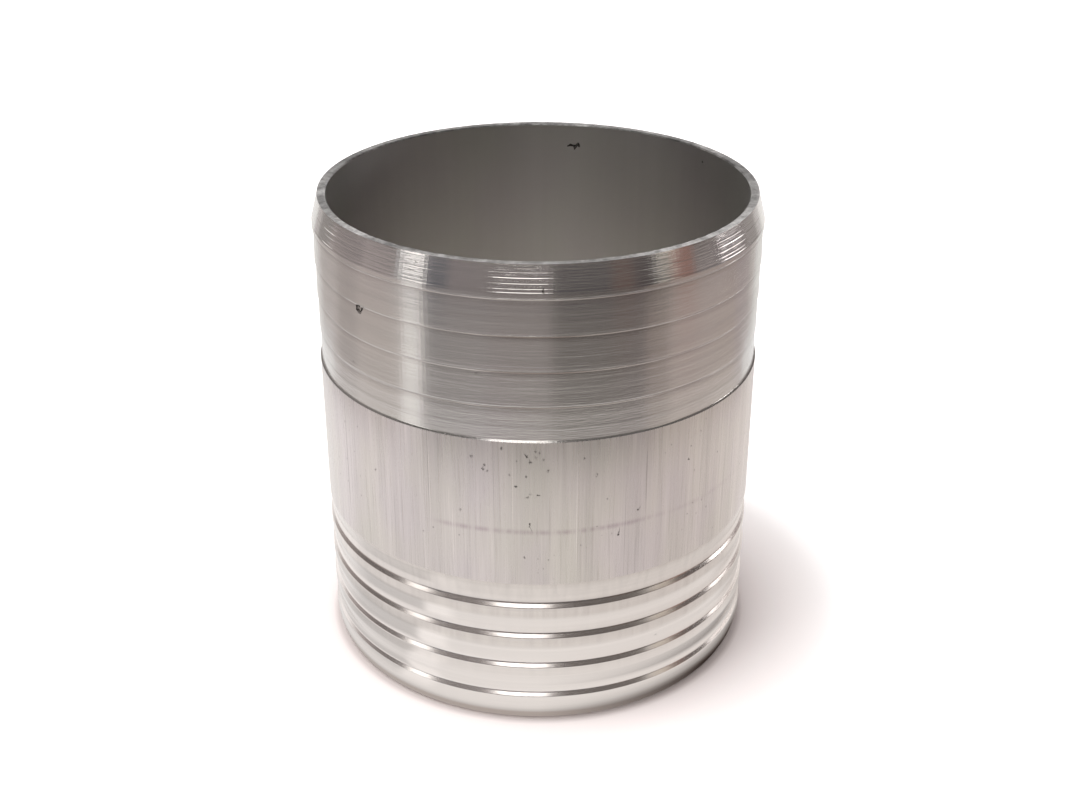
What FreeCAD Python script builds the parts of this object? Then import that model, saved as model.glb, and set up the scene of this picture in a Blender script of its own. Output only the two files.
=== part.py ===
import FreeCAD, Part
import os

import Sketcher

# Straight hose connector, made in one piece from a length of aluminium tube.
# The upper end is turned to a tapered nose and sharp saw-tooth barbs. The lower end is formed
# to a rounded nose and smooth barbs. Between them the tube is left as it was drawn.
# Millimetres, +Z up. The origin is the middle of the lower end, which the connector stands on.

NODE = "hose_connector"

# Each driving size: name, value, and what it measures.
SIZES = [
    ("tube_diameter", 60.0, "outside diameter of the drawn tube"),
    ("wall", 2.0, "wall thickness of the tube"),
    ("tube_length", 65.0, "length from end to end"),
    ("edge_break", 0.2, "chamfer inside both mouths, where the saw burr was taken off"),
    ("barb_pitch", 4.7, "distance from one barb to the next, the same on both ends"),
    ("sharp_nose_length", 3.5, "height of the cone that leads into the upper hose"),
    ("sharp_nose_drop", 0.9, "how far that cone draws the outside in at the lip"),
    ("sharp_barb_count", 4, "saw teeth on the upper end"),
    ("sharp_land", 0.6, "flat on the crest of the first tooth"),
    ("sharp_depth", 0.28, "depth of a tooth's root below the tube"),
    ("sharp_undercut", 0.35, "height over which the back of a tooth drops to its root"),
    ("seat_taper", 0.24, "how far the last tooth has been turned below the tube"),
    ("seat_shoulder", 0.15, "height of the step from the turned seat up to the raw tube"),
    ("round_nose_length", 2.6, "height of the rounding at the lower lip"),
    ("round_nose_drop", 0.8, "how far that rounding draws the outside in at the lip"),
    ("round_barb_count", 4, "smooth barbs on the lower end"),
    ("valley_width", 3.7, "height of the valley between two smooth crests"),
    ("valley_depth", 0.4, "depth of that valley below the crests"),
    ("valley_slope", 30.0, "degrees from upright of the short steep side of a valley"),
    ("crest_round", 1.2, "radius where the steep side meets its crest"),
]

# Heights and radii that follow from the driving sizes, as expressions on the sheet.
TUBE_RADIUS = "Sizes.tube_diameter / 2"
BORE_RADIUS = "(Sizes.tube_diameter / 2 - Sizes.wall)"
CLEAR_RADIUS = "Sizes.tube_diameter / 2 + Sizes.wall"
LIP_TOP = "Sizes.tube_length"
NOSE_FOOT = "Sizes.tube_length - Sizes.sharp_nose_length"
FIRST_TOOTH = "Sizes.tube_length - Sizes.sharp_nose_length - Sizes.sharp_land"
SEAT_END = FIRST_TOOTH + " - Sizes.sharp_barb_count * Sizes.barb_pitch"
LOWEST_VALLEY = "Sizes.round_nose_length + Sizes.barb_pitch - Sizes.valley_width"


def size_sheet(doc):
    """The spreadsheet that every feature below is bound to."""
    sheet = doc.addObject("Spreadsheet::Sheet", "Sizes")
    for row, (name, value, meaning) in enumerate(SIZES, start=1):
        sheet.set("A%d" % row, meaning)
        sheet.set("B%d" % row, str(value))
        sheet.setAlias("B%d" % row, name)
    doc.recompute()
    return sheet


def value_of(obj, expression):
    """The number that an expression on the sheet stands for."""
    return float(obj.evalExpression(expression))


def origin_feature(body, role):
    """A plane or axis of the body's own origin."""
    return next(f for f in body.Origin.OriginFeatures if f.Role == role)


def new_sketch(body, name, plane):
    sketch = body.newObject("Sketcher::SketchObject", name)
    sketch.AttachmentSupport = [(origin_feature(body, plane), "")]
    sketch.MapMode = "FlatFace"
    return sketch


def bind(sketch, constraint_name, constraint, expression):
    """Adds a dimension to the sketch and ties it to the sheet."""
    index = sketch.addConstraint(constraint)
    sketch.renameConstraint(index, constraint_name)
    sketch.setExpression("Constraints." + constraint_name, expression)


def place_point(sketch, name, geometry, end, radius, height):
    """Ties one end of a line or arc to a radius from the axis and a height above the base."""
    across = value_of(sketch, radius)
    up = value_of(sketch, height)
    bind(sketch, name + "_radius", Sketcher.Constraint("DistanceX", -1, 1, geometry, end, across), radius)
    bind(sketch, name + "_height", Sketcher.Constraint("DistanceY", -1, 1, geometry, end, up), height)


def straight_outline(sketch, corners):
    """A closed outline of straight lines, each corner tied to a radius and a height."""
    points = [FreeCAD.Vector(value_of(sketch, r), value_of(sketch, z), 0) for r, z in corners]
    for number, point in enumerate(points):
        sketch.addGeometry(Part.LineSegment(point, points[(number + 1) % len(points)]), False)
    for number, (radius, height) in enumerate(corners):
        following = (number + 1) % len(corners)
        sketch.addConstraint(Sketcher.Constraint("Coincident", number, 2, following, 1))
        place_point(sketch, "corner%d" % number, number, 1, radius, height)


def turned_cut(doc, body, sketch, name):
    """Turns the sketch once round the tube's axis and cuts what it sweeps."""
    before = body.Shape.Volume
    groove = body.newObject("PartDesign::Groove", name)
    groove.Profile = sketch
    groove.ReferenceAxis = (sketch, ["V_Axis"])
    groove.Angle = 360.0
    doc.recompute()
    if not groove.Shape.Volume < before:
        raise RuntimeError(name + " cut nothing")
    return groove


def repeat_along_tube(doc, body, feature, name, count, downwards):
    """Repeats a cut along the axis at the barbs' pitch."""
    before = body.Shape.Volume
    pattern = body.newObject("PartDesign::LinearPattern", name)
    pattern.Originals = [feature]
    pattern.Direction = (origin_feature(body, "Z_Axis"), [""])
    pattern.Reversed = downwards
    pattern.Mode = "Spacing"
    pattern.setExpression("Offset", "Sizes.barb_pitch")
    pattern.setExpression("Occurrences", "Sizes." + count)
    body.Tip = pattern
    doc.recompute()
    if not pattern.Shape.Volume < before:
        raise RuntimeError(name + " repeated nothing")
    return pattern


def tube_blank(doc, body):
    """The length of drawn tube that the connector starts as."""
    sketch = new_sketch(body, "TubeSection", "XY_Plane")
    centre = FreeCAD.Vector(0, 0, 0)
    up = FreeCAD.Vector(0, 0, 1)
    for number, (name, radius) in enumerate([("outside", TUBE_RADIUS), ("bore", BORE_RADIUS)]):
        size = value_of(sketch, radius)
        sketch.addGeometry(Part.Circle(centre, up, size), False)
        sketch.addConstraint(Sketcher.Constraint("Coincident", number, 3, -1, 1))
        bind(sketch, name, Sketcher.Constraint("Radius", number, size), radius)
    blank = body.newObject("PartDesign::Pad", "TubeBlank")
    blank.Profile = sketch
    blank.setExpression("Length", "Sizes.tube_length")
    doc.recompute()


def sharp_nose(doc, body):
    """The cone turned on the upper lip."""
    sketch = new_sketch(body, "SharpNoseOutline", "XZ_Plane")
    straight_outline(sketch, [
        (TUBE_RADIUS, NOSE_FOOT),
        (TUBE_RADIUS + " - Sizes.sharp_nose_drop", LIP_TOP),
        (CLEAR_RADIUS, LIP_TOP),
        (CLEAR_RADIUS, NOSE_FOOT),
    ])
    turned_cut(doc, body, sketch, "SharpNose")


def sharp_barbs(doc, body):
    """Saw teeth on the upper end: long ramps that open downwards, and undercut backs."""
    sketch = new_sketch(body, "ToothSpaceOutline", "XZ_Plane")
    root_height = FIRST_TOOTH + " - Sizes.sharp_undercut"
    next_crest = FIRST_TOOTH + " - Sizes.barb_pitch + Sizes.sharp_land"
    straight_outline(sketch, [
        (TUBE_RADIUS, FIRST_TOOTH),
        (TUBE_RADIUS + " - Sizes.sharp_depth", root_height),
        (TUBE_RADIUS, next_crest),
        (CLEAR_RADIUS, next_crest),
        (CLEAR_RADIUS, FIRST_TOOTH),
    ])
    space = turned_cut(doc, body, sketch, "ToothSpace")
    repeat_along_tube(doc, body, space, "ToothSpaces", "sharp_barb_count", True)


def seat_skim(doc, body):
    """The slight taper of the turned seat, which ends in a step up to the raw tube."""
    sketch = new_sketch(body, "SeatSkimOutline", "XZ_Plane")
    step_foot = SEAT_END + " + Sizes.seat_shoulder"
    straight_outline(sketch, [
        (TUBE_RADIUS, FIRST_TOOTH),
        (TUBE_RADIUS + " - Sizes.seat_taper", step_foot),
        (TUBE_RADIUS, SEAT_END),
        (CLEAR_RADIUS, SEAT_END),
        (CLEAR_RADIUS, FIRST_TOOTH),
    ])
    turned_cut(doc, body, sketch, "SeatSkim")


def round_nose(doc, body):
    """The lower lip, drawn in on one arc that leaves the tube without a corner."""
    sketch = new_sketch(body, "RoundNoseOutline", "XZ_Plane")
    tube = value_of(sketch, TUBE_RADIUS)
    outer = value_of(sketch, CLEAR_RADIUS)
    rise = value_of(sketch, "Sizes.round_nose_length")
    drop = value_of(sketch, "Sizes.round_nose_drop")
    radius = (rise ** 2 + drop ** 2) / (2 * drop)
    arc_end = FreeCAD.Vector(tube - drop, 0, 0)
    arc_start = FreeCAD.Vector(tube, rise, 0)
    outer_low = FreeCAD.Vector(outer, 0, 0)
    outer_high = FreeCAD.Vector(outer, rise, 0)
    circle = Part.Circle(FreeCAD.Vector(tube - radius, rise, 0), FreeCAD.Vector(0, 0, 1), radius)
    arc = Part.ArcOfCircle(circle, circle.parameter(arc_end), circle.parameter(arc_start))
    for line in (arc, Part.LineSegment(arc_end, outer_low), Part.LineSegment(outer_low, outer_high),
                 Part.LineSegment(outer_high, arc_start)):
        sketch.addGeometry(line, False)
    sketch.addConstraint(Sketcher.Constraint("Coincident", 0, 1, 1, 1))
    sketch.addConstraint(Sketcher.Constraint("Coincident", 1, 2, 2, 1))
    sketch.addConstraint(Sketcher.Constraint("Coincident", 2, 2, 3, 1))
    sketch.addConstraint(Sketcher.Constraint("Coincident", 3, 2, 0, 2))
    sketch.addConstraint(Sketcher.Constraint("PointOnObject", 0, 1, -1))
    sketch.addConstraint(Sketcher.Constraint("Horizontal", 1))
    sketch.addConstraint(Sketcher.Constraint("Vertical", 2))
    sketch.addConstraint(Sketcher.Constraint("Horizontal", 3))
    sketch.addConstraint(Sketcher.Constraint("Horizontal", 0, 3, 0, 2))
    lip = TUBE_RADIUS + " - Sizes.round_nose_drop"
    bind(sketch, "lip_radius", Sketcher.Constraint("DistanceX", -1, 1, 0, 1, tube - drop), lip)
    bind(sketch, "outer_radius", Sketcher.Constraint("DistanceX", -1, 1, 2, 1, outer), CLEAR_RADIUS)
    place_point(sketch, "nose_foot", 0, 2, TUBE_RADIUS, "Sizes.round_nose_length")
    turned_cut(doc, body, sketch, "RoundNose")


def round_barbs(doc, body):
    """Smooth barbs on the lower end: each valley is an easy ramp and a short steep side with a round."""
    sketch = new_sketch(body, "ValleyOutline", "XZ_Plane")
    top_expression = LOWEST_VALLEY + " + Sizes.valley_width"
    floor_expression = TUBE_RADIUS + " - Sizes.valley_depth"
    tube = value_of(sketch, TUBE_RADIUS)
    outer = value_of(sketch, CLEAR_RADIUS)
    valley_floor = value_of(sketch, floor_expression)
    top = value_of(sketch, top_expression)
    foot = value_of(sketch, LOWEST_VALLEY)
    crest_round = value_of(sketch, "Sizes.crest_round")
    slope = FreeCAD.Units.Quantity("%f deg" % value_of(sketch, "Sizes.valley_slope"))
    quarter = FreeCAD.Units.Quantity("90 deg")
    crest_centre = FreeCAD.Vector(tube - crest_round, foot, 0)
    circle = Part.Circle(crest_centre, FreeCAD.Vector(0, 0, 1), crest_round)
    crest = Part.ArcOfCircle(circle, 0, slope.getValueAs("rad").Value)
    # The bottom of the valley starts as a guess: the tangent and the angle below settle it.
    bottom = FreeCAD.Vector(valley_floor, foot + crest_round, 0)
    outer_low = FreeCAD.Vector(outer, foot, 0)
    outer_high = FreeCAD.Vector(outer, top, 0)
    ramp_top = FreeCAD.Vector(tube, top, 0)
    steep = Part.LineSegment(crest.EndPoint, bottom)
    ramp = Part.LineSegment(bottom, ramp_top)
    for piece in (crest, steep, ramp, Part.LineSegment(ramp_top, outer_high),
                  Part.LineSegment(outer_high, outer_low), Part.LineSegment(outer_low, crest.StartPoint)):
        sketch.addGeometry(piece, False)
    sketch.addConstraint(Sketcher.Constraint("Tangent", 0, 2, 1, 1))
    for first in (1, 2, 3, 4):
        sketch.addConstraint(Sketcher.Constraint("Coincident", first, 2, first + 1, 1))
    sketch.addConstraint(Sketcher.Constraint("Coincident", 5, 2, 0, 1))
    sketch.addConstraint(Sketcher.Constraint("Horizontal", 0, 3, 0, 1))
    sketch.addConstraint(Sketcher.Constraint("Horizontal", 3))
    sketch.addConstraint(Sketcher.Constraint("Vertical", 4))
    sketch.addConstraint(Sketcher.Constraint("Horizontal", 5))
    place_point(sketch, "foot", 0, 1, TUBE_RADIUS, LOWEST_VALLEY)
    place_point(sketch, "ramp_top", 2, 2, TUBE_RADIUS, top_expression)
    bind(sketch, "crest_round", Sketcher.Constraint("Radius", 0, crest_round), "Sizes.crest_round")
    bind(sketch, "floor", Sketcher.Constraint("DistanceX", -1, 1, 1, 2, valley_floor), floor_expression)
    bind(sketch, "outer_radius", Sketcher.Constraint("DistanceX", -1, 1, 4, 1, outer), CLEAR_RADIUS)
    bind(sketch, "steep_angle", Sketcher.Constraint("Angle", 1, slope + quarter),
         "(Sizes.valley_slope + 90) * 1 deg")
    valley = turned_cut(doc, body, sketch, "Valley")
    repeat_along_tube(doc, body, valley, "Valleys", "round_barb_count", False)


def mouth_chamfers(doc, body):
    """Breaks the edge of the bore at both ends."""
    base = body.Tip
    bore = value_of(body, BORE_RADIUS)
    edges = []
    for number, edge in enumerate(base.Shape.Edges, start=1):
        if isinstance(edge.Curve, Part.Circle) and abs(edge.Curve.Radius - bore) < 0.001:
            edges.append("Edge%d" % number)
    chamfer = body.newObject("PartDesign::Chamfer", "MouthChamfers")
    chamfer.Base = (base, edges)
    chamfer.setExpression("Size", "Sizes.edge_break")
    doc.recompute()
    if not chamfer.Shape.Volume < base.Shape.Volume:
        raise RuntimeError("the mouths were not chamfered")


def check_document(doc, body):
    """Stops before anything is written if a feature failed or the solid is not sound."""
    for obj in doc.Objects:
        if "Invalid" in obj.State or "Error" in obj.State:
            raise RuntimeError("%s failed: %s" % (obj.Name, obj.State))
    for sketch in doc.findObjects("Sketcher::SketchObject"):
        if sketch.solve() != 0:
            raise RuntimeError(sketch.Name + " has constraints that disagree")
    shape = body.Shape
    if shape.isNull() or not shape.isValid() or len(shape.Solids) != 1:
        raise RuntimeError("the connector is not one sound solid")


def main():
    doc = FreeCAD.newDocument("HoseConnector")
    size_sheet(doc)
    body = doc.addObject("PartDesign::Body", "HoseConnector")
    body.Label = NODE
    body.Placement = FreeCAD.Placement()
    tube_blank(doc, body)
    sharp_nose(doc, body)
    sharp_barbs(doc, body)
    seat_skim(doc, body)
    round_nose(doc, body)
    round_barbs(doc, body)
    mouth_chamfers(doc, body)
    doc.recompute()
    check_document(doc, body)
    os.makedirs("parts", exist_ok=True)
    body.Shape.exportStep("parts/%s.step" % body.Label)
    box = body.Shape.optimalBoundingBox(False, False)
    print("size %.3f x %.3f x %.3f mm" % (box.XLength, box.YLength, box.ZLength))
    print("volume %.1f mm3, %d faces" % (body.Shape.Volume, len(body.Shape.Faces)))


main()
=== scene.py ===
import math
import random

import bpy
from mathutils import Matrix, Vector


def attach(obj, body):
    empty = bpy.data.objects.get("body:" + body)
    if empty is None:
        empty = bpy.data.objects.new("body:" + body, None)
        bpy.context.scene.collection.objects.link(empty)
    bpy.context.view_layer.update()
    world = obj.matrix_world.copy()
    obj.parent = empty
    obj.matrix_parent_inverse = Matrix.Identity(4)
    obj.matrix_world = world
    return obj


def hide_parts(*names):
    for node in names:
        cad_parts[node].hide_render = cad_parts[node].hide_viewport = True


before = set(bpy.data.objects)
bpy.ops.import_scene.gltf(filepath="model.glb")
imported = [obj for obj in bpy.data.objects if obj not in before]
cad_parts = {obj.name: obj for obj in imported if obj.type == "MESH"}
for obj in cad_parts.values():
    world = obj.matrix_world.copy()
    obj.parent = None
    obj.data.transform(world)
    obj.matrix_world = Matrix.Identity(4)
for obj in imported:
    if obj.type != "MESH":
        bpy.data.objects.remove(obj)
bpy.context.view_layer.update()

bpy.ops.object.select_all(action="DESELECT")
MM = 0.001


# Camera
# It stands in front of the connector and looks down on it, as near as a hand-held phone.
image_width = 1067
focal_pixels = 1487.0
camera_place = Vector((0.0, -188.84, 127.58)) * MM
look_down = math.radians(26.62)
look_left = math.radians(0.155)
camera_roll = math.radians(0.07)

bpy.ops.object.camera_add(location=camera_place)
camera = bpy.context.object
camera.name = "camera"
camera.data.sensor_width = 36.0
camera.data.lens = camera.data.sensor_width * focal_pixels / image_width
camera.data.clip_start = 0.01
camera.data.clip_end = 20.0
camera.rotation_euler = (math.radians(90) - look_down, camera_roll, look_left)
bpy.context.scene.camera = camera


# Hose connector
# One length of aluminium tube, 60 mm across and 2 mm thick. The wall's section is drawn as an
# outline, with every tool mark in it, and spun once round the tube's axis. All of it is bare metal.
tube_radius = 30.0
bore_radius = 28.0
tube_length = 65.0
edge_break = 0.2
barb_pitch = 4.7
around = 320

sharp_nose_length = 3.5
sharp_nose_drop = 0.9
sharp_land = 0.6
tooth_depths = (0.17, 0.14, 0.12, 0.11)
sharp_undercut = 0.22
sharp_barbs = 4
seat_taper = 0.24
seat_shoulder = 0.20

round_nose_length = 2.6
round_nose_drop = 0.8
round_barbs = 4
valley_width = 3.7
crest_round = 0.35
fall_height = 0.36
fall_round = 0.8
valley_round = 3.0

first_crest = tube_length - sharp_nose_length - sharp_land
seat_end = first_crest - sharp_barbs * barb_pitch
band_start = round_nose_length + round_barbs * barb_pitch
lip_height = tube_length - 0.03
turned = random.Random(11)


def turned_radius(height):
    """The turned end's outside at a height: its nose, its land, or one of its teeth."""
    nose_start = first_crest + sharp_land
    if height >= nose_start:
        return tube_radius - sharp_nose_drop * (height - nose_start) / sharp_nose_length
    if height >= first_crest:
        return tube_radius
    tooth, below_crest = divmod(first_crest - height, barb_pitch)
    tooth = min(int(tooth), sharp_barbs - 1)
    crest = tube_radius - seat_taper * tooth / sharp_barbs
    root = crest - tooth_depths[tooth]
    if below_crest < sharp_undercut:
        return crest + (root - crest) * below_crest / sharp_undercut
    next_crest = tube_radius - seat_taper * (tooth + 1) / sharp_barbs
    return root + (next_crest - root) * (below_crest - sharp_undercut) / (barb_pitch - sharp_undercut)


def arc_points(centre, radius, first, last, steps):
    """Points on an arc of the section, from one angle to another, in radians."""
    turns = [first + (last - first) * step / steps for step in range(steps + 1)]
    return [(centre[0] + radius * math.cos(a), centre[1] + radius * math.sin(a)) for a in turns]


# The outline starts at the foot's inner edge and goes out round the rolled nose.
outline = [(bore_radius + edge_break, 0.0)]
foot_round = 0.3
nose_radius = (round_nose_length ** 2 + round_nose_drop ** 2) / (2 * round_nose_drop)
foot_turn = math.asin((round_nose_length - foot_round) / (nose_radius - foot_round))
foot_centre = (tube_radius - nose_radius + (nose_radius - foot_round) * math.cos(foot_turn), foot_round)
outline += arc_points(foot_centre, foot_round, -math.pi / 2, -foot_turn, 6)
outline += arc_points((tube_radius - nose_radius, round_nose_length), nose_radius, -foot_turn, 0.0, 8)[1:]

# Each rolled barb falls from a tight crest, flattens into a wide valley and rises by a long ramp.
crest_lift = 0.15
fall_angle = math.radians(31)
flat_angle = math.radians(8)
fall_drop = fall_height * math.tan(fall_angle)
lowest = (crest_round * (1 - math.cos(fall_angle)) + fall_drop
          + fall_round * (math.cos(flat_angle) - math.cos(fall_angle))
          + valley_round * (1 - math.cos(flat_angle)))
valley_start = (crest_round * math.sin(fall_angle) + fall_height
                + fall_round * (math.sin(fall_angle) - math.sin(flat_angle))
                + valley_round * math.sin(flat_angle))
ramp_height = valley_width - crest_lift - valley_start
# The ramp touches the valley's round smoothly, so its angle is found step by step.
ramp_angle = 0.2
for _ in range(20):
    ramp_angle = math.atan2(lowest - valley_round * (1 - math.cos(ramp_angle)),
                            ramp_height - valley_round * math.sin(ramp_angle))
easing_round = 2.5
easing = math.tan(ramp_angle / 2) * easing_round
for barb in range(round_barbs):
    foot = round_nose_length + (barb + 1) * barb_pitch - valley_width
    crest = foot + crest_lift
    crest_centre = (tube_radius - crest_round, crest)
    outline += arc_points(crest_centre, crest_round, 0.0, fall_angle, 5)
    fall_centre = (
        tube_radius - crest_round - fall_drop + (crest_round + fall_round) * math.cos(fall_angle),
        crest + fall_height + (crest_round + fall_round) * math.sin(fall_angle))
    outline += arc_points(fall_centre, fall_round, math.pi + fall_angle, math.pi + flat_angle, 6)
    outline += arc_points((tube_radius - lowest + valley_round, crest + valley_start), valley_round,
                          math.pi + flat_angle, math.pi - ramp_angle, 8)[1:]
    outline += arc_points((tube_radius - easing_round, foot + valley_width + easing), easing_round,
                          -ramp_angle, 0.0, 4)

# The drawn skin between the seats is left as it was.
band_steps = 16
outline += [(tube_radius, band_start + (seat_end - band_start) * step / band_steps)
            for step in range(1, band_steps)]

# The turned end starts at a small shoulder. The lathe tool leaves fine grooves all the way up,
# and a few deeper ones, each given by its height, its depth and how far below it its fall begins.
shoulder_depth = 0.22
shoulder_rise = 0.155
groove_return = 0.24
outline += [(tube_radius, seat_end), (tube_radius - shoulder_depth, seat_end + shoulder_rise)]
deep_grooves = [(43.6, 0.006, 0.03), (45.2, 0.004, 0.03), (46.86, 0.010, 0.04), (49.2, 0.006, 0.03),
                (51.56, 0.010, 0.04), (53.4, 0.005, 0.03), (56.26, 0.012, 0.04), (57.6, 0.006, 0.03),
                (59.0, 0.005, 0.03), (60.96, 0.012, 0.04), (61.74, 0.010, 0.05), (62.14, 0.006, 0.04),
                (62.74, 0.006, 0.04), (63.40, 0.012, 0.06), (64.0, 0.004, 0.03)]
corners = [seat_end + seat_shoulder, first_crest, first_crest + sharp_land]
for tooth in range(sharp_barbs):
    crest = first_crest - tooth * barb_pitch
    corners += [crest - sharp_undercut, crest]
turned_points = {height: 0.0 for height in corners}
for height, depth, fall in deep_grooves:
    turned_points.update({height - fall: 0.0, height: depth, height + groove_return: 0.0})
kept_clear = list(turned_points)
height = seat_end + seat_shoulder
while height < lip_height - 0.3:
    height += turned.uniform(0.12, 0.32)
    if min(abs(height - other) for other in kept_clear) > 0.08:
        turned_points[height] = turned.choice((0.0, 0.001, 0.001, 0.002, 0.003, 0.004))
for height in sorted(turned_points):
    outline.append((turned_radius(height) - turned_points[height], height))

# The lip is sawn, with its inner edge broken. The bore is plain.
lip_outside = turned_radius(tube_length)
outline += [(lip_outside, lip_height), (28.75, lip_height - 0.012), (28.5, lip_height)]
outline += [(bore_radius + edge_break, lip_height - 0.01), (bore_radius, tube_length - edge_break)]
outline += [(bore_radius, height) for height in (63.6, 62.6, 61.1)]
outline += [(bore_radius, tube_length * step / 12) for step in range(11, 0, -1)]
outline += [(bore_radius, edge_break)]

bpy.ops.mesh.primitive_plane_add(size=MM, location=(outline[0][0] * MM, 0, outline[0][1] * MM))
connector = bpy.context.object
connector.name = "aluminium_connector"
bpy.ops.object.transform_apply(location=True, rotation=True, scale=True)
bpy.ops.object.mode_set(mode="EDIT")
bpy.ops.mesh.select_all(action="SELECT")
bpy.ops.mesh.merge(type="CENTER")
for here, following in zip(outline, outline[1:]):
    step = ((following[0] - here[0]) * MM, 0.0, (following[1] - here[1]) * MM)
    bpy.ops.mesh.extrude_vertices_move(TRANSFORM_OT_translate={"value": step})
bpy.ops.object.mode_set(mode="OBJECT")
for end in (0, len(outline) - 1):
    connector.data.vertices[end].select = True
bpy.ops.object.mode_set(mode="EDIT")
bpy.ops.mesh.edge_face_add()
bpy.ops.mesh.select_all(action="SELECT")
bpy.ops.mesh.spin(steps=around, angle=math.radians(360), center=(0, 0, 0), axis=(0, 0, 1),
                  use_auto_merge=True)
bpy.ops.mesh.select_all(action="SELECT")
bpy.ops.mesh.remove_doubles(threshold=0.0005 * MM)
bpy.ops.mesh.normals_make_consistent(inside=False)
bpy.ops.object.mode_set(mode="OBJECT")


def from_axis(point):
    """How far a point of the mesh is from the tube's axis, in millimetres."""
    return math.hypot(point.x, point.y) / MM


def node_group(name, inputs, outputs):
    """An empty node group with named value, vector or colour sockets."""
    group = bpy.data.node_groups.new(name, "ShaderNodeTree")
    for label, kind, start in inputs:
        socket = group.interface.new_socket(label, in_out="INPUT", socket_type="NodeSocket" + kind)
        socket.default_value = start
    for label, kind in outputs:
        group.interface.new_socket(label, in_out="OUTPUT", socket_type="NodeSocket" + kind)
    return group, group.nodes.new("NodeGroupInput"), group.nodes.new("NodeGroupOutput")


def new_node(tree, kind, settings=None, **sockets):
    """A node with its settings and socket values; a socket's value may be another node's output."""
    made = tree.nodes.new("ShaderNode" + kind)
    for setting, value in (settings or {}).items():
        setattr(made, setting, value)
    for label, value in sockets.items():
        socket = made.inputs[int(label[1:])] if label[0] == "_" else made.inputs[label.replace("_", " ")]
        if isinstance(value, bpy.types.NodeSocket):
            tree.links.new(value, socket)
        else:
            socket.default_value = value
    return made


# Grain drawn out in one direction: Stretch is how many grains there are to a metre along x, y and z.
grain_group, grain_in, grain_out = node_group(
    "drawn_out_grain", [("Stretch", "Vector", (1, 1, 1)), ("Detail", "Float", 2.0)], [("Grain", "Float")])
place = new_node(grain_group, "TexCoord").outputs["Object"]
stretched = new_node(grain_group, "VectorMath", {"operation": "MULTIPLY"}, _0=place,
                     _1=grain_in.outputs["Stretch"])
grain_noise = new_node(grain_group, "TexNoise", Vector=stretched.outputs[0], Scale=1.0,
                       Detail=grain_in.outputs["Detail"], Roughness=0.6)
grain_group.links.new(grain_noise.outputs["Fac"], grain_out.inputs["Grain"])

# Small specks of dirt and corrosion, thicker where a slow noise runs high.
speck_group, speck_in, speck_out = node_group(
    "specks", [("To a metre", "Float", 900.0), ("Amount", "Float", 0.1)], [("Specks", "Float")])
place = new_node(speck_group, "TexCoord").outputs["Object"]
cells = new_node(speck_group, "TexVoronoi", Vector=place, Scale=speck_in.outputs["To a metre"])
near = new_node(speck_group, "MapRange", Value=cells.outputs["Distance"], From_Min=0.08, From_Max=0.22,
                To_Min=1.0, To_Max=0.0)
chance = new_node(speck_group, "SeparateColor", Color=cells.outputs["Color"])
patchy = new_node(speck_group, "TexNoise", Vector=place, Scale=110.0, Detail=1.0)
lift = new_node(speck_group, "MapRange", Value=patchy.outputs["Fac"], From_Min=0.42, From_Max=0.75)
limit = new_node(speck_group, "Math", {"operation": "MULTIPLY"}, _0=lift.outputs[0],
                 _1=speck_in.outputs["Amount"])
picked = new_node(speck_group, "Math", {"operation": "LESS_THAN"}, _0=chance.outputs[0],
                  _1=limit.outputs[0])
marked = new_node(speck_group, "Math", {"operation": "MULTIPLY"}, _0=near.outputs[0],
                  _1=picked.outputs[0])
speck_group.links.new(marked.outputs[0], speck_out.inputs["Specks"])

# One long scratch: one in its middle, none outside its size.
line_group, line_in, line_out = node_group(
    "scratch",
    [("Place", "Vector", (0, 0, 0)), ("Half size", "Vector", (1, 1, 1)), ("Ragged", "Float", 0.5)],
    [("Scratch", "Float")])
away = new_node(line_group, "VectorMath", {"operation": "SUBTRACT"},
                _0=new_node(line_group, "TexCoord").outputs["Object"], _1=line_in.outputs["Place"])
away = new_node(line_group, "VectorMath", {"operation": "DIVIDE"}, _0=away.outputs[0],
                _1=line_in.outputs["Half size"])
away = new_node(line_group, "VectorMath", {"operation": "LENGTH"}, _0=away.outputs[0])
away = new_node(line_group, "Math", {"operation": "ADD"}, _0=away.outputs["Value"],
                _1=line_in.outputs["Ragged"])
inside = new_node(line_group, "MapRange", Value=away.outputs[0], From_Min=0.8, From_Max=1.6,
                  To_Min=1.0, To_Max=0.0)
line_group.links.new(inside.outputs[0], line_out.inputs["Scratch"])


def grain(tree, stretch, detail=2.0):
    """One layer of drawn-out grain in a finish."""
    return new_node(tree, "Group", {"node_tree": grain_group}, Stretch=stretch, Detail=detail).outputs[0]


def with_alpha(colour):
    """A colour or a grey as the four numbers that Blender asks for."""
    return (*colour, 1.0) if isinstance(colour, tuple) else (colour, colour, colour, 1.0)


def ramp(tree, value, *stops):
    """Colours or greys that follow a value, as (position, colour) stops."""
    made = new_node(tree, "ValToRGB", Fac=value)
    points = made.color_ramp.elements
    while len(points) < len(stops):
        points.new(0.5)
    for point, (position, colour) in zip(points, stops):
        point.position = position
        point.color = with_alpha(colour)
    return made.outputs["Color"]


def tinted(tree, colour, by, amount=1.0):
    """A colour multiplied by another."""
    made = new_node(tree, "Mix", {"data_type": "RGBA", "blend_type": "MULTIPLY"}, _0=amount)
    tree.links.new(colour, made.inputs[6])
    tree.links.new(by, made.inputs[7])
    return made.outputs[2]


def blended(tree, share, first, second):
    """One colour where the share is none, another where it is whole."""
    made = new_node(tree, "Mix", {"data_type": "RGBA"}, _0=share)
    for socket, colour in ((made.inputs[6], first), (made.inputs[7], second)):
        if isinstance(colour, bpy.types.NodeSocket):
            tree.links.new(colour, socket)
        else:
            socket.default_value = with_alpha(colour)
    return made.outputs[2]


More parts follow.
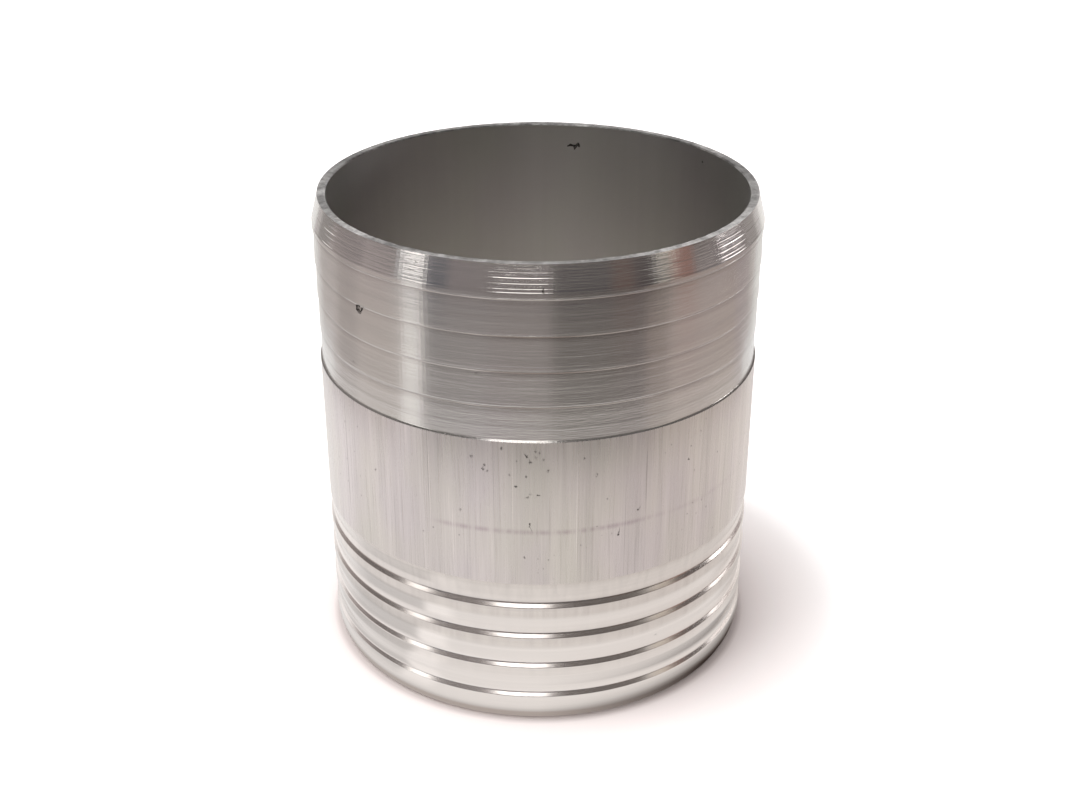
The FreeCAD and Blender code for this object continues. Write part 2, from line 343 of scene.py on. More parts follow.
def scratches(tree, ragged, marks):
    """Scratches along the tube, given by bearing, height, half the width and half the height, in mm."""
    whole = None
    for bearing, height, half_width, half_height in marks:
        turn = math.radians(bearing)
        spot = (tube_radius * math.sin(turn) * MM, -tube_radius * math.cos(turn) * MM, height * MM)
        size = (half_width * MM, half_width * MM, half_height * MM)
        one = new_node(tree, "Group", {"node_tree": line_group}, Place=spot, Half_size=size, Ragged=ragged)
        if whole is None:
            whole = one.outputs[0]
        else:
            whole = new_node(tree, "Math", {"operation": "MAXIMUM"}, _0=whole, _1=one.outputs[0]).outputs[0]
    return whole


def bare_metal(name, metallic=1.0, anisotropic=0.0, turn=0.0):
    """A bare aluminium finish, still without its colour and marks."""
    material = bpy.data.materials.new(name)
    material.use_nodes = True
    shader = material.node_tree.nodes["Principled BSDF"]
    shader.inputs["Metallic"].default_value = metallic
    shader.inputs["Anisotropic"].default_value = anisotropic
    shader.inputs["Anisotropic Rotation"].default_value = turn
    return material, material.node_tree, shader


def finish_with(tree, shader, colour, roughness, height, depth):
    """Plugs colour, roughness and bump height into a finish; depth is the marks' depth in metres."""
    tree.links.new(colour, shader.inputs["Base Color"])
    tree.links.new(roughness, shader.inputs["Roughness"])
    bump = new_node(tree, "Bump", Strength=1.0, Distance=depth, Height=height)
    tree.links.new(bump.outputs["Normal"], shader.inputs["Normal"])


def along(tree, axis, first, last):
    """How far along X, Y or Z a point is between two places, in millimetres."""
    place = new_node(tree, "SeparateXYZ", Vector=new_node(tree, "TexCoord").outputs["Object"])
    return new_node(tree, "MapRange", Value=place.outputs[axis], From_Min=first * MM,
                    From_Max=last * MM).outputs[0]


# Turned: fine rings in the height, which fade in and out round the tube. The nose is cut cleaner,
# and the backs of the teeth are darkened brown: partly torn metal, partly painted shade under the crests.
turned_face, tree, shader = bare_metal("turned_face", 0.96, 0.55, 0.25)
rings = grain(tree, (120, 120, 5000), 3.0)
broad_rings = grain(tree, (12, 12, 700), 2.0)
slow = grain(tree, (60, 60, 30), 1.0)
colour = tinted(tree, ramp(tree, slow, (0.35, (0.665, 0.63, 0.62)), (0.65, (0.655, 0.63, 0.60))),
                ramp(tree, broad_rings, (0.3, 0.92), (0.55, 1.0)))
bands = [(0.0, 0.0)]
for tooth in range(sharp_barbs - 1, -1, -1):
    crest = first_crest - tooth * barb_pitch
    bands += [((crest + above - seat_end) / 20.0, value) for above, value in
              ((-0.9, 0.0), (-0.28, 0.5), (-0.22, 1.0), (-0.02, 1.0), (0.02, 0.0))]
torn_and_shade = tinted(tree, ramp(tree, along(tree, "Z", seat_end, seat_end + 20.0), *bands),
              ramp(tree, grain(tree, (50, 50, 1500), 2.0), (0.38, 0.4), (0.60, 1.0)))
# The painted shade under the crests is strongest in the middle of the view and fades to the left and right.
torn_and_shade = tinted(tree, torn_and_shade, ramp(tree, along(tree, "X", -tube_radius, tube_radius), (0.2, 0.5), (0.38, 0.6),
                               (0.45, 1.0), (0.85, 0.9), (0.95, 0.5)))
colour = tinted(tree, colour, ramp(tree, torn_and_shade, (0.0, 1.0), (1.0, (0.36, 0.31, 0.29))))
nose_share = along(tree, "Z", first_crest, first_crest + sharp_land)
roughness = blended(tree, nose_share, ramp(tree, rings, (0.3, 0.20), (0.7, 0.235)),
                    ramp(tree, rings, (0.3, 0.12), (0.7, 0.15)))
flecks = ramp(tree, grain(tree, (450, 450, 5500), 3.0), (0.35, 0.0), (0.65, 1.0))
finish_with(tree, shader, colour, roughness, flecks, 0.0000045)

# Drawn: fine streaks along the tube, lines from the die, tinted patches, pits and a faint old stain.
drawn_skin, tree, shader = bare_metal("drawn_skin", 1.0, 0.3)
streaks = grain(tree, (3200, 3200, 80), 4.0)
broad_streaks = grain(tree, (420, 420, 12), 2.0)
patches = grain(tree, (110, 110, 60), 2.0)
colour = tinted(tree, ramp(tree, patches, (0.35, (0.62, 0.563, 0.558)), (0.5, (0.625, 0.573, 0.548)),
                           (0.65, (0.615, 0.573, 0.532))),
                ramp(tree, streaks, (0.28, 0.84), (0.45, 0.99), (0.55, 1.01), (0.72, 1.12)))
colour = tinted(tree, colour, ramp(tree, broad_streaks, (0.35, 0.91), (0.65, 1.03)))
colour = tinted(tree, colour, ramp(tree, along(tree, "Z", band_start, seat_end), (0.0, 0.95), (0.7, 1.0)))
specks = new_node(tree, "Group", {"node_tree": speck_group}, To_a_metre=1500.0, Amount=0.2).outputs[0]
colour = tinted(tree, colour, ramp(tree, specks, (0.0, 1.0), (1.0, 0.45)))
ragged = ramp(tree, streaks, (0.35, 0.0), (0.6, 0.7))
die_lines = scratches(tree, ragged, [
    (-57.0, 32.0, 0.10, 10.0), (-27.3, 33.0, 0.06, 9.0), (-38.0, 27.0, 0.05, 6.0), (-10.6, 36.0, 0.05, 6.0),
    (21.5, 30.0, 0.05, 8.0), (27.0, 37.0, 0.06, 5.0), (46.0, 30.0, 0.05, 9.0)])
colour = tinted(tree, colour, ramp(tree, die_lines, (0.0, 1.0), (1.0, 0.72)))
bright_lines = scratches(tree, ragged, [
    (-27.0, 34.0, 0.06, 8.0), (-6.0, 35.0, 0.05, 7.0), (9.3, 31.0, 0.06, 9.0), (-21.0, 28.0, 0.05, 6.0)])
colour = tinted(tree, colour, ramp(tree, bright_lines, (0.0, 1.0), (1.0, 1.22)))
place = new_node(tree, "SeparateXYZ", Vector=new_node(tree, "TexCoord").outputs["Object"])
off_line = new_node(tree, "Math", {"operation": "MULTIPLY_ADD"}, _0=grain(tree, (60, 60, 0), 1.0),
                    _1=0.0006, _2=place.outputs["Z"])
off_line = new_node(tree, "Math", {"operation": "SUBTRACT"}, _0=off_line.outputs[0], _1=0.0297)
off_line = new_node(tree, "Math", {"operation": "ABSOLUTE"}, _0=off_line.outputs[0])
on_line = new_node(tree, "MapRange", Value=off_line.outputs[0], From_Min=0.0, From_Max=0.0005,
                   To_Min=1.0, To_Max=0.0)
along_line = ramp(tree, along(tree, "X", -tube_radius, tube_radius), (0.26, 0.0), (0.32, 1.0), (0.71, 1.0),
                  (0.76, 0.4), (0.92, 0.3), (0.96, 0.0))
stain = tinted(tree, tinted(tree, on_line.outputs[0], along_line),
               ramp(tree, grain(tree, (900, 900, 100), 3.0), (0.38, 0.2), (0.56, 1.0)))
colour = tinted(tree, colour, ramp(tree, stain, (0.0, 1.0), (1.0, (0.78, 0.73, 0.77))))
finish_with(tree, shader, colour, ramp(tree, streaks, (0.3, 0.25), (0.7, 0.31)), streaks, 0.000002)

# Rolled: the roller has polished the ramps and the nose. The lands between them stay dull as drawn.
rolled_barbs, tree, shader = bare_metal("rolled_barbs")
streaks = grain(tree, (900, 900, 40), 2.0)
rings = grain(tree, (20, 20, 2600), 2.0)
polished_height = 22.0
share = along(tree, "Z", 0.0, polished_height)
polish_heights = [(0.0, 0.9), (3.0, 0.95), (6.5, 1.0), (7.6, 0.75), (8.3, 0.6), (8.9, 0.9), (11.4, 0.95),
                  (12.2, 0.3), (13.1, 0.2), (13.8, 0.7), (16.0, 0.9), (16.7, 0.2), (17.8, 0.15),
                  (18.4, 0.5), (20.9, 0.3), (21.6, 0.0)]
polish = ramp(tree, share, *[(height / polished_height, value) for height, value in polish_heights])
fine = tinted(tree, ramp(tree, rings, (0.3, 0.98), (0.7, 1.02)),
              blended(tree, polish, ramp(tree, streaks, (0.3, 0.90), (0.6, 1.0)), (1.0, 1.0, 1.0)))
colour = tinted(tree, blended(tree, polish, (0.60, 0.55, 0.52), (0.76, 0.71, 0.685)), fine)
roughness = tinted(tree, blended(tree, polish, 0.23, ramp(tree, share, (0.0, 0.205), (1.0, 0.17))),
                   ramp(tree, streaks, (0.3, 0.96), (0.7, 1.05)))
finish_with(tree, shader, colour, roughness, rings, 0.0000012)

# Bore: dull, with faint streaks along it. Its colour is painted lighter deep inside and darker
# towards the mouth: painted light and shade.
dull_bore, tree, shader = bare_metal("dull_bore")
streaks = grain(tree, (700, 700, 20), 3.0)
patches = grain(tree, (60, 60, 40), 2.0)
colour = tinted(tree, ramp(tree, patches, (0.35, (0.55, 0.53, 0.53)), (0.65, (0.56, 0.56, 0.53))),
                ramp(tree, streaks, (0.35, 0.985), (0.65, 1.01)))
colour = tinted(tree, colour, ramp(tree, along(tree, "Z", 20.0, tube_length), (0.0, 1.55), (0.35, 1.3),
                                   (1.0, 0.76)))
finish_with(tree, shader, colour, ramp(tree, streaks, (0.3, 0.38), (0.7, 0.42)), streaks, 0.000001)

# Lip: sawn across and deburred by hand, so it is torn and uneven. Its colour is darker at the back:
# painted shade.
sawn_lip, tree, shader = bare_metal("sawn_lip")
tears = grain(tree, (900, 900, 900), 3.0)
slow = grain(tree, (120, 120, 120), 2.0)
colour = tinted(tree, ramp(tree, tears, (0.35, (0.46, 0.445, 0.44)), (0.5, (0.66, 0.645, 0.64)),
                           (0.65, (0.87, 0.86, 0.85))),
                ramp(tree, slow, (0.36, 0.52), (0.50, 0.80), (0.60, 1.12)))
colour = tinted(tree, colour, ramp(tree, along(tree, "Y", 0.0, 25.0), (0.0, 1.0), (1.0, 0.66)))
finish_with(tree, shader, colour, ramp(tree, tears, (0.3, 0.42), (0.7, 0.28)), tears, 0.00002)

# Gouge: raw, dark metal in the few places where the surface was struck, painted darker the deeper
# the hollow, as painted shade.
gouged, tree, shader = bare_metal("gouged", 0.7)
crumbs = grain(tree, (7000, 7000, 7000), 3.0)
flat_place = new_node(tree, "VectorMath", {"operation": "MULTIPLY"},
                      _0=new_node(tree, "TexCoord").outputs["Object"], _1=(1, 1, 0))
axis_distance = new_node(tree, "VectorMath", {"operation": "LENGTH"}, _0=flat_place.outputs[0])
hollow_shade = new_node(tree, "MapRange", Value=axis_distance.outputs["Value"], From_Min=0.02999,
                       From_Max=0.0297).outputs[0]
colour = tinted(tree, ramp(tree, hollow_shade, (0.0, (0.42, 0.38, 0.36)), (0.25, (0.16, 0.14, 0.13)),
                           (1.0, (0.05, 0.043, 0.04))),
                ramp(tree, crumbs, (0.3, 0.6), (0.7, 1.3)))
finish_with(tree, shader, colour, ramp(tree, crumbs, (0.3, 0.45), (0.7, 0.65)), crumbs, 0.00001)

finishes = [turned_face, drawn_skin, rolled_barbs, dull_bore, sawn_lip]
for material in finishes:
    connector.data.materials.append(material)
for face in connector.data.polygons:
    height = face.center.z / MM
    if from_axis(face.center) < bore_radius + 0.05:
        finish = dull_bore
    elif height > lip_height - 0.2 and from_axis(face.center) < lip_outside - 0.01:
        finish = sawn_lip
    elif height > seat_end:
        finish = turned_face
    elif height > band_start + 0.3:
        finish = drawn_skin
    else:
        finish = rolled_barbs
    face.material_index = finishes.index(finish)

# Gouges and pits: the nick in the turned seat, the tick on the nose, two marks inside the mouth, and
# small pits. Each is given by bearing, height, radius, half its width and height, depth and lean.
gouges = [(-48.50, 55.50, 29.79, 0.24, 0.50, 0.16, -10), (-47.80, 55.04, 29.80, 0.42, 0.20, 0.15, 5),
          (-46.85, 55.50, 29.79, 0.16, 0.55, 0.14, 32), (-47.90, 55.94, 29.78, 0.36, 0.15, 0.14, 0),
          (-47.80, 55.45, 29.86, 0.34, 0.40, 0.10, 0), (1.14, 61.97, 29.88, 0.12, 0.58, 0.14, 2),
          (169.2, 61.78, 28.0, 0.95, 0.24, 0.22, -2), (167.5, 61.95, 28.0, 0.30, 0.38, 0.22, 10),
          (123.2, 63.10, 28.0, 0.22, 0.16, 0.10, 0)]
small_pits = [
    (-0.6, 40.9, 0.14, 0.12, 0.04), (0.3, 40.75, 0.12, 0.14, 0.04), (-2.5, 40.2, 0.16, 0.14, 0.03),
    (-0.4, 40.1, 0.13, 0.2, 0.05),
    (-1.7, 39.4, 0.26, 0.18, 0.04), (1.3, 39.8, 0.12, 0.12, 0.03), (2.4, 38.2, 0.14, 0.17, 0.08),
    (-2.8, 37.4, 0.12, 0.10, 0.03), (-12.6, 38.7, 0.10, 0.16, 0.03), (-12.0, 37.9, 0.14, 0.12, 0.04),
    (-13.0, 38.1, 0.08, 0.2, 0.02), (-8.4, 41.2, 0.10, 0.2, 0.02), (-6.8, 37.6, 0.16, 0.10, 0.03),
    (-15.8, 39.7, 0.2, 0.16, 0.02), (-1.7, 34.9, 0.28, 0.08, 0.03), (0.1, 34.8, 0.18, 0.10, 0.05),
    (-2.3, 34.5, 0.12, 0.10, 0.02), (-5.2, 36.0, 0.2, 0.06, 0.02), (-1.9, 30.4, 0.07, 0.35, 0.04),
    (-44.2, 33.7, 0.15, 0.13, 0.04), (-19.0, 31.8, 0.10, 0.10, 0.03), (-3.3, 25.7, 0.19, 0.12, 0.06),
    (11.0, 39.7, 0.10, 0.10, 0.03), (39.8, 36.1, 0.16, 0.13, 0.07), (14.0, 37.2, 0.07, 0.3, 0.02),
    (19.8, 28.0, 0.10, 0.09, 0.03), (24.9, 31.1, 0.10, 0.10, 0.03), (31.9, 10.6, 0.17, 0.13, 0.05),
    (-14.3, 51.0, 0.12, 0.12, 0.06), (-51.5, 47.7, 0.10, 0.08, 0.04), (-27.5, 62.2, 0.32, 0.05, 0.04),
    (-29.0, 63.9, 0.22, 0.06, 0.04), (-26.9, 63.2, 0.25, 0.04, 0.03), (-30.6, 62.9, 0.20, 0.04, 0.03),
    (150.0, 33.0, 0.2, 0.15, 0.05), (-161.0, 29.0, 0.18, 0.14, 0.04), (172.0, 38.0, 0.15, 0.2, 0.05),
    (98.0, 35.0, 0.14, 0.12, 0.04), (-118.0, 26.5, 0.16, 0.11, 0.04)]
for bearing, height, half_width, half_height, depth in small_pits:
    radius = turned_radius(height) if height > seat_end else tube_radius
    radius -= 0.35 if height < band_start else 0.0
    gouges.append((bearing, height, radius, half_width, half_height, depth, 0))
cutters = []
for bearing, height, radius, half_width, half_height, depth, lean in gouges:
    turn = math.radians(bearing)
    spot = (radius * MM * math.sin(turn), -radius * MM * math.cos(turn), height * MM)
    bpy.ops.mesh.primitive_ico_sphere_add(subdivisions=2, radius=MM, location=spot,
                                          rotation=(0, math.radians(lean), turn),
                                          scale=(half_width, depth, half_height))
    cutter = bpy.context.object
    bpy.ops.object.mode_set(mode="EDIT")
    bpy.ops.mesh.select_all(action="SELECT")
    bpy.ops.transform.vertex_random(offset=0.12 * MM, uniform=1.0, normal=0.0, seed=len(cutters))
    bpy.ops.object.mode_set(mode="OBJECT")
    bpy.ops.object.transform_apply(location=True, rotation=True, scale=True)
    cutter.data.materials.append(gouged)
    cutters.append(cutter)
for cutter in cutters:
    cutter.select_set(True)
bpy.context.view_layer.objects.active = cutters[0]
bpy.ops.object.join()
cutter = bpy.context.object
bpy.ops.object.select_all(action="DESELECT")
connector.select_set(True)
bpy.context.view_layer.objects.active = connector
cut = connector.modifiers.new("gouges", "BOOLEAN")
cut.operation = "DIFFERENCE"
cut.solver = "MANIFOLD"
cut.material_mode = "TRANSFER"
cut.object = cutter
bpy.ops.object.modifier_apply(modifier=cut.name)
bpy.data.objects.remove(cutter)
bpy.ops.object.shade_smooth_by_angle(angle=math.radians(24))

# The flanks of the turned grooves meet at crisp edges, so that each catches the light on its own.
# The gouges have crisp rims too.
mesh = connector.data
struck = {tuple(sorted(key)) for face in mesh.polygons if mesh.materials[face.material_index] == gouged
          for key in face.edge_keys}
whole = {tuple(sorted(key)) for face in mesh.polygons if mesh.materials[face.material_index] != gouged
         for key in face.edge_keys}
rims = struck & whole
for vertex in mesh.vertices:
    vertex.select = False
for face in mesh.polygons:
    face.select = False
for edge in mesh.edges:
    low, high = (mesh.vertices[index].co for index in edge.vertices)
    level = abs(low.z - high.z) < 0.0001 * MM
    edge.select = level and low.z / MM > seat_end - 0.05 and from_axis(low) > bore_radius + 0.3
    edge.select = edge.select or tuple(sorted(edge.vertices)) in rims
bpy.ops.object.mode_set(mode="EDIT")
bpy.context.tool_settings.mesh_select_mode = (False, True, False)
bpy.ops.mesh.mark_sharp()
bpy.context.tool_settings.mesh_select_mode = (True, False, False)
bpy.ops.mesh.select_all(action="DESELECT")
bpy.ops.object.mode_set(mode="OBJECT")

# A fine burr stands along the lip's inner edge.
for vertex in mesh.vertices:
    vertex.select = vertex.co.z / MM > lip_height - 0.015 and from_axis(vertex.co) < 28.6
bpy.ops.object.mode_set(mode="EDIT")
bpy.ops.transform.vertex_random(offset=0.03 * MM, uniform=1.0, normal=0.0, seed=5)
bpy.ops.mesh.select_all(action="DESELECT")
bpy.ops.object.mode_set(mode="OBJECT")

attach(connector, "root")
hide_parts("hose_connector")


# Table
# A large plain white table top. It looks white to the camera and in the metal, and keeps the
# connector's shadow, with painted shade added round the foot.
def stage_material(name):
    material = bpy.data.materials.new(name)
    material.use_nodes = True
    shader = material.node_tree.nodes["Principled BSDF"]
    shader.inputs["Base Color"].default_value = (0.0, 0.0, 0.0, 1.0)
    shader.inputs["Roughness"].default_value = 0.9
    shader.inputs["Specular IOR Level"].default_value = 0.0
    return material, material.node_tree, shader


bpy.ops.mesh.primitive_circle_add(vertices=96, radius=3.0, fill_type="NGON", location=(0, 0, 0))
table = bpy.context.object
table.name = "table"
white_table, tree, shader = stage_material("white_table")
place = new_node(tree, "TexCoord").outputs["Object"]
across = along(tree, "X", -100.0, 100.0)
path = new_node(tree, "LightPath")
mirrored = new_node(tree, "Math", {"operation": "MAXIMUM"}, _0=path.outputs["Is Glossy Ray"],
                    _1=path.outputs["Is Transmission Ray"]).outputs[0]
distance = new_node(tree, "VectorMath", {"operation": "LENGTH"}, _0=place).outputs["Value"]


def outward(first, last):
    """How far out on the table a point is between two distances from the tube's axis, in millimetres."""
    return new_node(tree, "MapRange", Value=distance, From_Min=first * MM, From_Max=last * MM).outputs[0]


# The camera sees the shade round the foot fade to white. The table's colour adds painted shade, darker
# and warmer where the foot stands, pinkish further out and darker at the right, and the camera's glow
# is painted weaker near the foot.
from_foot = outward(tube_radius, 50.0)
paint_with_painted_shade = tinted(tree, ramp(tree, across, (0.3, (0.90, 0.885, 0.88)), (0.85, (0.85, 0.83, 0.83))),
               ramp(tree, from_foot, (0.0, (0.72, 0.67, 0.66)), (0.04, (1.0, 0.95, 0.94)),
                    (0.4, (1.0, 0.95, 0.94)), (0.9, 1.0)))
camera_glow_with_painted_shade = ramp(tree, from_foot, (0.0, 0.0), (0.04, 0.03), (0.075, 0.08), (0.2, 0.16), (0.3, 0.21),
                 (0.4, 0.26), (0.6, 0.33), (0.8, 0.46))

# The metal sees a glowing white sheet with painted light and shade: a little dimmer at the right, with a
# painted shadow line where the foot stands. The line is wider at the right, painted shade lies close to
# the foot at the left and beside it at the right, a painted strip of brighter window light lies at the
# left front, and further out the sides of the foot are painted brighter.
left_shade = ramp(tree, from_foot, (0.0, (0.52, 0.48, 0.46)), (0.03, 0.75), (0.08, 0.92), (0.2, 1.03))
right_shade = ramp(tree, from_foot, (0.0, (0.04, 0.028, 0.024)), (0.05, (0.19, 0.167, 0.158)), (0.1, 0.46),
                   (0.16, 0.76), (0.24, 1.04), (0.45, 1.04), (0.6, 1.0))
right_side = along(tree, "X", 0.0, 24.0)
beside = along(tree, "Y", -9.0, 2.0)
foot_shade = blended(tree, right_side, left_shade, right_shade)
foot_shade = blended(tree, tinted(tree, right_side, beside), foot_shade,
                     ramp(tree, from_foot, (0.3, (0.73, 0.71, 0.70)), (0.8, 1.0)))
ahead = new_node(tree, "VectorMath", {"operation": "MULTIPLY"}, _0=place, _1=(1.0, -1.0, 0.0))
parts = new_node(tree, "SeparateXYZ", Vector=ahead.outputs[0])
bearing = new_node(tree, "Math", {"operation": "ARCTAN2"}, _0=parts.outputs["X"], _1=parts.outputs["Y"])
bearing = new_node(tree, "MapRange", Value=bearing.outputs[0], From_Min=-math.pi / 2, From_Max=0.0)
painted_light_and_shade_at_left = ramp(tree, bearing.outputs[0], (0.0, 0.86), (0.17, 0.66), (0.49, 0.68), (0.53, 1.10),
                  (0.62, 1.10), (0.66, 0.93), (0.95, 0.97))
painted_light_and_shade_at_left = blended(tree, outward(40.0, 48.0), painted_light_and_shade_at_left, ramp(tree, beside, (0.5, 1.0), (1.0, 1.12)))
painted_light_and_shade_at_left = blended(tree, outward(31.5, 34.5), (1.0, 1.0, 1.0), painted_light_and_shade_at_left)
sheet = tinted(tree, ramp(tree, across, (0.3, (1.05, 1.04, 1.03)), (0.5, (1.02, 1.005, 0.98)),
                          (0.8, (0.90, 0.86, 0.83))), tinted(tree, foot_shade, painted_light_and_shade_at_left))
tree.links.new(blended(tree, mirrored, paint_with_painted_shade, (0.0, 0.0, 0.0)), shader.inputs["Base Color"])
glow = blended(tree, mirrored, (1.0, 1.0, 1.0), sheet)
tree.links.new(glow, shader.inputs["Emission Color"])
strength = blended(tree, path.outputs["Is Camera Ray"], mirrored, camera_glow_with_painted_shade)
tree.links.new(strength, shader.inputs["Emission Strength"])
table.data.materials.append(white_table)


# Room
# A ring of plain sheets stands round the table, out of the camera's sight: dull ones of several
# greys and browns, and four bright windows. Only the metal sees them.
room_radius = 1.5
room_height = 1.7
bpy.ops.mesh.primitive_cylinder_add(vertices=360, radius=room_radius, depth=room_height,
                                    end_fill_type="NOTHING", location=(0, 0, room_height / 2))
room = bpy.context.object
room.name = "room_sheets"
bpy.ops.object.transform_apply(location=True, rotation=True, scale=True)
bpy.ops.object.mode_set(mode="EDIT")
for level in (0.02, 0.04, 0.06, 0.08, 0.10, 0.12, 0.16, 0.18, 0.25, 0.30, 0.52):
    bpy.ops.mesh.select_all(action="SELECT")
    bpy.ops.mesh.bisect(plane_co=(0, 0, level), plane_no=(0, 0, 1))
bpy.ops.mesh.select_all(action="DESELECT")
bpy.ops.object.mode_set(mode="OBJECT")


def coloured_light(stage_piece, name, tone_of):
    """Makes each face of a stage piece glow in its own tone."""
    material, tree, shader = stage_material(name)
    tones = new_node(tree, "Attribute", {"attribute_name": "tone"})
    tree.links.new(tones.outputs["Color"], shader.inputs["Emission Color"])
    shader.inputs["Emission Strength"].default_value = 1.0
    stage_piece.data.materials.append(material)
    tone = stage_piece.data.attributes.new("tone", "FLOAT_COLOR", "CORNER")
    for face in stage_piece.data.polygons:
        for corner in face.loop_indices:
            tone.data[corner].color = (*tone_of(face.center), 1.0)


# The low sheets stand on the table. Each goes from one bearing to another, in degrees.
low_top = 0.25
low_sheets = [
    (-180, -141, (0.95, 0.94, 0.92)), (-141, -133, (0.60, 0.57, 0.56)), (-133, -119, (0.36, 0.34, 0.33)),
    (-119, -71, (0.46, 0.41, 0.40)), (-71, -54, (0.50, 0.50, 0.50)), (-54, -43, (0.12, 0.125, 0.145)),
    (-43, 7, (0.23, 0.205, 0.205)), (7, 35, (0.075, 0.07, 0.073)), (35, 46, (0.13, 0.085, 0.07)),
    (46, 57, (0.07, 0.06, 0.058)), (57, 66, (0.20, 0.20, 0.18)), (66, 79, (0.33, 0.19, 0.16)),
    (79, 101, (0.40, 0.36, 0.35)), (101, 119, (0.32, 0.28, 0.28)), (119, 133, (0.42, 0.39, 0.38)),
    (133, 141, (0.7, 0.67, 0.66)), (141, 180, (1.0, 0.98, 0.96))]
# The high ones hang from the ceiling down to a height, in metres. The last two are windows.
high_sheets = [
    (-180, -150, low_top, (0.60, 0.59, 0.58)), (-150, -100, 0.06, (0.22, 0.205, 0.20)),
    (-100, -71, 0.10, (0.19, 0.175, 0.17)), (-71, -54, low_top, (0.17, 0.155, 0.15)),
    (-54, -24.5, low_top, (0.27, 0.25, 0.245)), (-24.5, 7, low_top, (0.20, 0.185, 0.18)),
    (7, 57, low_top, (0.18, 0.165, 0.155)), (59, 71, 0.16, (0.78, 0.72, 0.63)),
    (71, 79, low_top, (0.15, 0.135, 0.13)), (79, 150, 0.04, (0.15, 0.135, 0.13)),
    (150, 180, low_top, (0.60, 0.59, 0.58)), (-69.5, -55.5, 0.18, (2.1, 2.07, 2.02)),
    (-22, 4.5, 0.52, (3.0, 2.95, 2.9))]
# The low windows go from one height to another.
low_windows = [
    (98, 108, 0.06, 0.12, (2.0, 1.97, 1.93)), (108, 118, 0.0, 0.12, (2.4, 2.36, 2.32)),
    (98, 118, 0.12, 0.30, (6.0, 5.9, 5.8)), (-128, -118, 0.04, 0.30, (2.0, 1.98, 1.95))]
# Where two overlap, the later one hangs in front.
room_plan = [(first, last, 0.0, low_top, tone) for first, last, tone in low_sheets]
room_plan += [(first, last, low, room_height, tone) for first, last, low, tone in high_sheets]
room_plan += low_windows


def sheet_tone(middle):
    """The tone of the sheet that hangs at this place on the ring."""
    bearing = math.degrees(math.atan2(middle.x, -middle.y))
    found = None
    for first, last, low, high, tone in room_plan:
        if first <= bearing < last and low <= middle.z < high:
            found = tone
    return found


for face in room.data.polygons:
    face.select = sheet_tone(face.center) is None
bpy.ops.object.mode_set(mode="EDIT")
bpy.context.tool_settings.mesh_select_mode = (False, False, True)
bpy.ops.mesh.delete(type="FACE")
bpy.context.tool_settings.mesh_select_mode = (True, False, False)
bpy.ops.object.mode_set(mode="OBJECT")
coloured_light(room, "hung_sheets", sheet_tone)
room.visible_camera = False
room.visible_diffuse = False
room.visible_shadow = False

# A dull ceiling closes the ring, with one bright panel in it.
bpy.ops.mesh.primitive_grid_add(x_subdivisions=60, y_subdivisions=60, size=2 * room_radius,
                                location=(0, 0, room_height))
ceiling = bpy.context.object
ceiling.name = "dull_ceiling"
bpy.ops.object.transform_apply(location=True, rotation=True, scale=True)


def ceiling_tone(middle):
    """The bright panel hangs over the table, a little to the left and in front."""
    in_panel = -0.43 < middle.x < 0.11 and -0.36 < middle.y < -0.12
    return (3.5, 3.45, 3.4) if in_panel else (0.12, 0.115, 0.11)


coloured_light(ceiling, "ceiling_light", ceiling_tone)
ceiling.visible_camera = False
ceiling.visible_diffuse = False
ceiling.visible_shadow = False

# Round the white patch that the connector stands on, a glowing ring stands for the table: darker, as
# painted shade, with patches of painted light. Only the metal sees that.
bpy.ops.mesh.primitive_circle_add(vertices=360, radius=room_radius, fill_type="NGON",
                                  location=(0, 0, 0.0006))
surround = bpy.context.object
surround.name = "shaded_surround"
bpy.ops.object.transform_apply(location=True, rotation=True, scale=True)
bpy.ops.object.mode_set(mode="EDIT")
for inwards in (0.9, 0.4, 0.081, 0.011, 0.009):
    bpy.ops.mesh.inset(thickness=inwards)
bpy.ops.mesh.delete(type="FACE")
bpy.ops.object.mode_set(mode="OBJECT")
# Near the white patch the painted tones follow the bearing, in degrees; the brightest is a painted strip of
# window light.
near_sheets = [
    (-180, -142, (0.90, 0.89, 0.87)), (-142, -134, (0.75, 0.72, 0.70)), (-134, -112, (0.60, 0.56, 0.54)),
    (-112, -95, (0.46, 0.42, 0.40)), (-95, -65, (0.57, 0.52, 0.49)), (-65, -54, (1.12, 1.10, 1.07)),
    (-54, -22, (0.30, 0.28, 0.275)), (-22, 6, (0.28, 0.25, 0.245)), (6, 50, (0.165, 0.145, 0.135)),
    (50, 62, (0.34, 0.285, 0.25)), (62, 110, (0.50, 0.43, 0.39)), (110, 126, (0.49, 0.43, 0.42)),
    (126, 134, (0.66, 0.62, 0.60)), (134, 180, (0.88, 0.87, 0.85))]


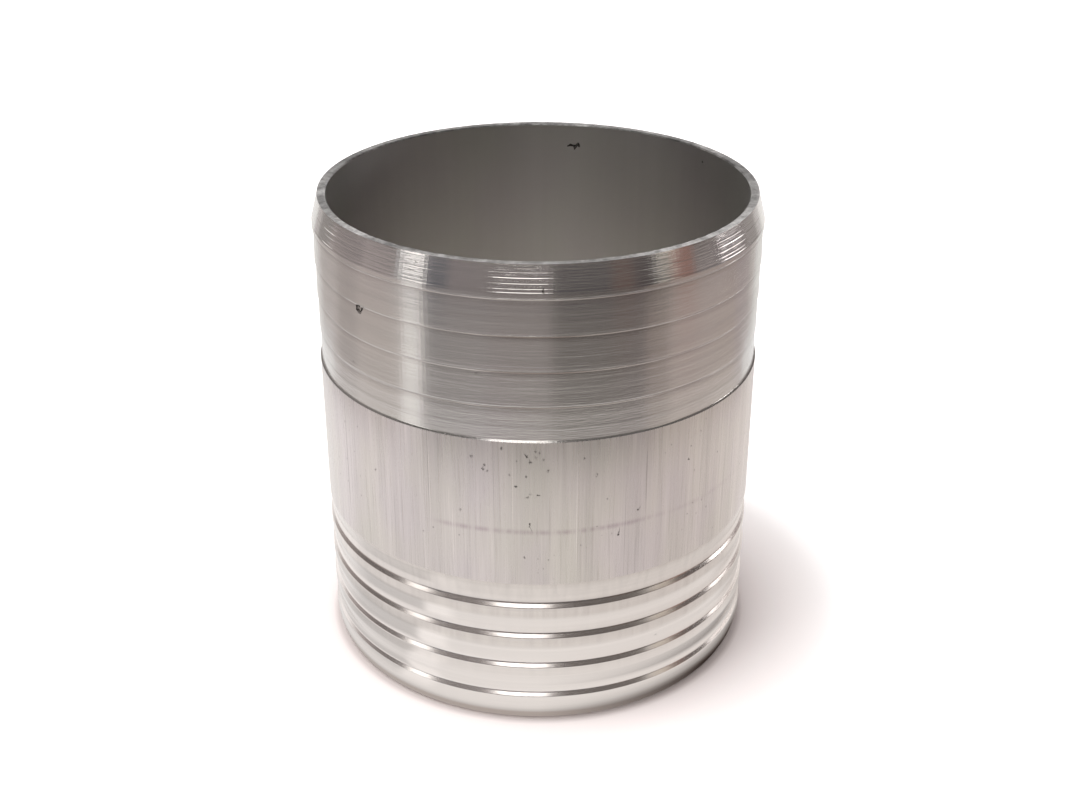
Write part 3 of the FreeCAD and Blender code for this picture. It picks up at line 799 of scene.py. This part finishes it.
def surround_tone(middle):
    """The tone of one part of the ring's painted shade and light. Its inner rim runs over into the white
    patch.
    """
    bearing = math.degrees(math.atan2(middle.x, -middle.y))
    away = math.hypot(middle.x, middle.y)
    sheets = near_sheets if away < 0.2 else low_sheets
    tone = next(tone for first, last, tone in sheets if first <= bearing <= last)
    if away > 0.6 and 92 < abs(bearing) < 141:
        tone = (0.2, 0.18, 0.18)
    if away < 0.119 and abs(bearing) > 120:
        tone = (1.0, 1.0, 1.0)
    elif away < 0.108:
        tone = tuple(value + (1.0 - value) * 0.45 for value in tone)
    return tone


coloured_light(surround, "painted_table_shade_and_light", surround_tone)
surround.visible_camera = False
surround.visible_diffuse = False
surround.visible_shadow = False


# Light
# The room's own white light, and one soft lamp overhead, a little to the left. The metal mirrors
# the room, and not the lamp.
world = bpy.data.worlds.new("room_light")
bpy.context.scene.world = world
world.use_nodes = True
tree = world.node_tree
background = tree.nodes["Background"]
path = new_node(tree, "LightPath")
seen = new_node(tree, "Math", {"operation": "MAXIMUM"}, _0=path.outputs["Is Camera Ray"],
                _1=path.outputs["Is Glossy Ray"])
seen = new_node(tree, "Math", {"operation": "MAXIMUM"}, _0=seen.outputs[0],
                _1=path.outputs["Is Transmission Ray"])
facing = new_node(tree, "VectorMath", {"operation": "DOT_PRODUCT"},
                  _0=new_node(tree, "TexCoord").outputs["Generated"], _1=(0.85, 0.53, 0.0)).outputs["Value"]
from_left = new_node(tree, "MapRange", Value=facing, From_Min=-1.0, From_Max=1.0, To_Min=1.15, To_Max=0.45)
tree.links.new(blended(tree, seen.outputs[0], from_left.outputs[0], 1.0), background.inputs["Strength"])
tree.links.new(ramp(tree, seen.outputs[0], (0.0, (1.0, 0.955, 0.945)), (1.0, (1.0, 1.0, 1.0))),
               background.inputs["Color"])

lamp_place = Vector((-0.30, -0.13, 0.85))
bpy.ops.object.light_add(type="AREA", location=lamp_place)
lamp = bpy.context.object
lamp.name = "overhead_lamp"
lamp.data.shape = "SQUARE"
lamp.data.size = 0.4
lamp.data.energy = 4.2
lamp.visible_glossy = False
lamp.rotation_euler = (Vector((0, 0, 0.03)) - lamp_place).to_track_quat("-Z", "Y").to_euler()

bpy.context.scene.view_settings.view_transform = "Standard"
